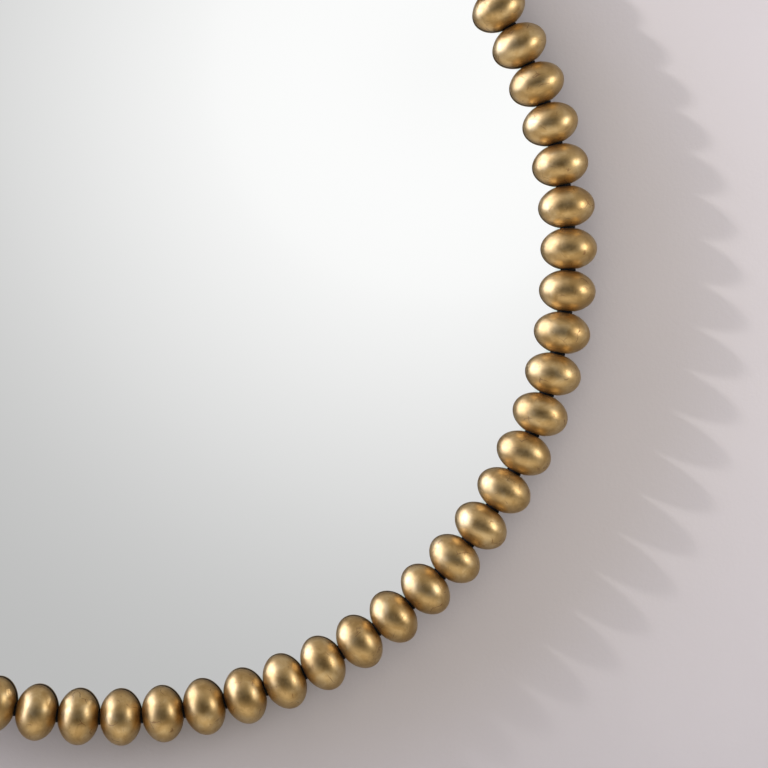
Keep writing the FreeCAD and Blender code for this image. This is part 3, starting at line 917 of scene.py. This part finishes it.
def window_light(bench, parts, level):
    """Brightness of a tall window at the left, by direction."""
    leftward = bench.math("MULTIPLY_ADD", parts["Z"], -0.45, parts["X"])
    window = bench.remap(leftward, -1.0, -0.65, level, 0.0)
    for mask in (
        bench.remap(parts["Y"], -0.55, -0.25),
        bench.remap(parts["Y"], -0.02, 0.0, 1.0, 0.0),
        bench.remap(parts["Z"], -0.6, 0.2, 0.2, 1.0),
        bench.remap(parts["Z"], 0.6, 0.9, 1.0, 0.0),
    ):
        window = bench.math("MULTIPLY", window, mask)
    return window


def room_light(bench, parts, stage):
    """Brightness of the dim room with its lit floor and ceiling, by direction."""
    room = bench.remap(parts["Y"], -0.95, -0.45, stage.front_level, stage.side_level)
    floor = bench.remap(parts["Z"], -0.85, -0.2, stage.floor_level, 0.0)
    floor = bench.math("MULTIPLY", floor, bench.remap(parts["Y"], -0.5, 0.0, 1.0, 0.3))
    ceiling = bench.remap(parts["Z"], 0.15, 0.9, 0.0, stage.ceiling_level)
    rear = bench.remap(parts["Y"], 0.15, 0.7, 0.0, stage.rear_level)
    return bench.math("ADD", bench.math("ADD", room, floor), bench.math("ADD", ceiling, rear))


def studio_world(stage):
    """Pale to the camera and in the mirror, and to all else a room whose window only the gold shows."""
    world = bpy.data.worlds.new("studio")
    bpy.context.scene.world = world
    world.use_nodes = True
    bench = NodeBench(world.node_tree)
    direction = bench.add("ShaderNodeTexCoord").outputs["Generated"]
    parts = bench.add("ShaderNodeSeparateXYZ", {"Vector": direction}).outputs
    path = bench.add("ShaderNodeLightPath").outputs
    in_gold = bench.math("SUBTRACT", 1.0, path["Is Diffuse Ray"])
    window = bench.math("MULTIPLY", window_light(bench, parts, stage.window_level), in_gold)
    room = room_light(bench, parts, stage)
    studio = bench.times_plus(stage.room_tint, room, bench.times_plus(stage.daylight, window))
    pale = bench.mix(bench.remap(parts["Z"], -0.6, 0.7), PALE_LOW, PALE_HIGH)
    first = bench.math("LESS_THAN", path["Ray Depth"], WORLD_DEPTH_LIMIT)
    mirrored = bench.math("MULTIPLY", path["Is Singular Ray"], first)
    shown = bench.math("MAXIMUM", path["Is Camera Ray"], mirrored)
    background = world.node_tree.nodes["Background"]
    bench.put(bench.mix(shown, studio, pale), background.inputs["Color"])


def hang_lamp(name, kind, place, aim, power, in_gold, **settings):
    """A lamp at a place, turned to what it lights, hidden from the camera and perhaps from the gold."""
    data = bpy.data.lights.new(name, kind)
    data.energy = power
    for key, value in settings.items():
        setattr(data, key, value)
    lamp = bpy.data.objects.new(name, data)
    lamp.location = place
    lamp.rotation_euler = (Vector(aim) - Vector(place)).to_track_quat("-Z", "Y").to_euler()
    lamp.visible_camera = False
    lamp.visible_glossy = in_gold
    bpy.context.scene.collection.objects.link(lamp)


class MIRROR_OT_set_stage(bpy.types.Operator):
    """Sets the wall, the screen that the mirror shows, the lamps and the camera."""

    bl_idname = "mirror.set_stage"
    bl_label = "Set Stage"

    def execute(self, context):
        stage = settings_of(context).stage
        metres_per_pixel = ring_radius / RING_RADIUS_PIXELS
        aim = Vector((
            (PHOTO_MIDDLE - RING_CENTRE_PIXEL[0]) * metres_per_pixel,
            bead_plane,
            (RING_CENTRE_PIXEL[1] - PHOTO_MIDDLE) * metres_per_pixel,
        ))
        upright_sheet("wall", WALL_HALF_SIDE, WALL_DEPTH, wall_paint(tuple(stage.wall)))
        upright_sheet("mirror_screen", SCREEN_HALF_SIDE, SCREEN_DEPTH, glow_paint())
        studio_world(stage)
        hang_lamp(
            "key_lamp", "SPOT", KEY_PLACE, KEY_AIM, stage.key_power, in_gold=False,
            spot_size=KEY_CONE, spot_blend=1.0, shadow_soft_size=KEY_RADIUS, color=stage.key_tint,
        )
        hang_lamp(
            "right_strip", "AREA", STRIP_PLACE, STRIP_AIM, stage.right_power, in_gold=True,
            shape="RECTANGLE", size=STRIP_SIZE[0], size_y=STRIP_SIZE[1], color=stage.strip_tint,
        )
        hang_lamp(
            "fill_lamp", "AREA", FILL_PLACE, FILL_AIM, stage.fill_power, in_gold=False,
            shape="SQUARE", size=FILL_SIDE,
        )
        self.set_camera(context, stage, aim, metres_per_pixel * PHOTO_SIDE)
        context.scene.view_settings.view_transform = "Standard"
        return {"FINISHED"}

    @staticmethod
    def set_camera(context, stage, aim, width):
        """A long lens square to the wall that frames the photograph's part of the ring."""
        data = bpy.data.cameras.new("camera")
        data.lens = data.sensor_width * stage.camera_distance / width
        data.clip_end = 200.0
        camera = bpy.data.objects.new("camera", data)
        camera.location = aim - Vector((0, stage.camera_distance, 0))
        camera.rotation_euler = (math.radians(90), 0, 0)
        context.scene.collection.objects.link(camera)
        context.scene.camera = camera


class MIRROR_PT_dresser(bpy.types.Panel):
    """Lists the pieces and their settings."""

    bl_label = "Beaded Mirror"
    bl_idname = "MIRROR_PT_dresser"
    bl_space_type = "VIEW_3D"
    bl_region_type = "UI"
    bl_category = "Mirror"

    def draw(self, context):
        settings = settings_of(context)
        for group in (settings.beads, settings.finish, settings.stage):
            column = self.layout.column(align=True)
            for key in group.__annotations__:
                column.prop(group, key)
        for operator in operators:
            self.layout.operator(operator.bl_idname)


operators = (
    MIRROR_OT_gild_beads,
    MIRROR_OT_silver_pane,
    MIRROR_OT_blacken_hoop,
    MIRROR_OT_paint_board,
    MIRROR_OT_plate_fittings,
    MIRROR_OT_mould_bumpers,
    MIRROR_OT_set_stage,
)
classes = (
    BeadSettings,
    FinishSettings,
    StageSettings,
    BeadedMirrorSettings,
    *operators,
    MIRROR_PT_dresser,
)


def register():
    """Adds the classes and the scene's settings."""
    for each in classes:
        bpy.utils.register_class(each)
    bpy.types.Scene.beaded_mirror = PointerProperty(type=BeadedMirrorSettings)


def unregister():
    """Takes the settings and classes away again."""
    del bpy.types.Scene.beaded_mirror
    for each in reversed(classes):
        bpy.utils.unregister_class(each)


def main():
    """Dresses the frame piece by piece."""
    register()
    bpy.ops.mirror.gild_beads()
    bpy.ops.mirror.silver_pane()
    bpy.ops.mirror.blacken_hoop()
    bpy.ops.mirror.paint_board()
    bpy.ops.mirror.plate_fittings()
    bpy.ops.mirror.mould_bumpers()
    bpy.ops.mirror.set_stage()


if __name__ == "__main__":
    main()
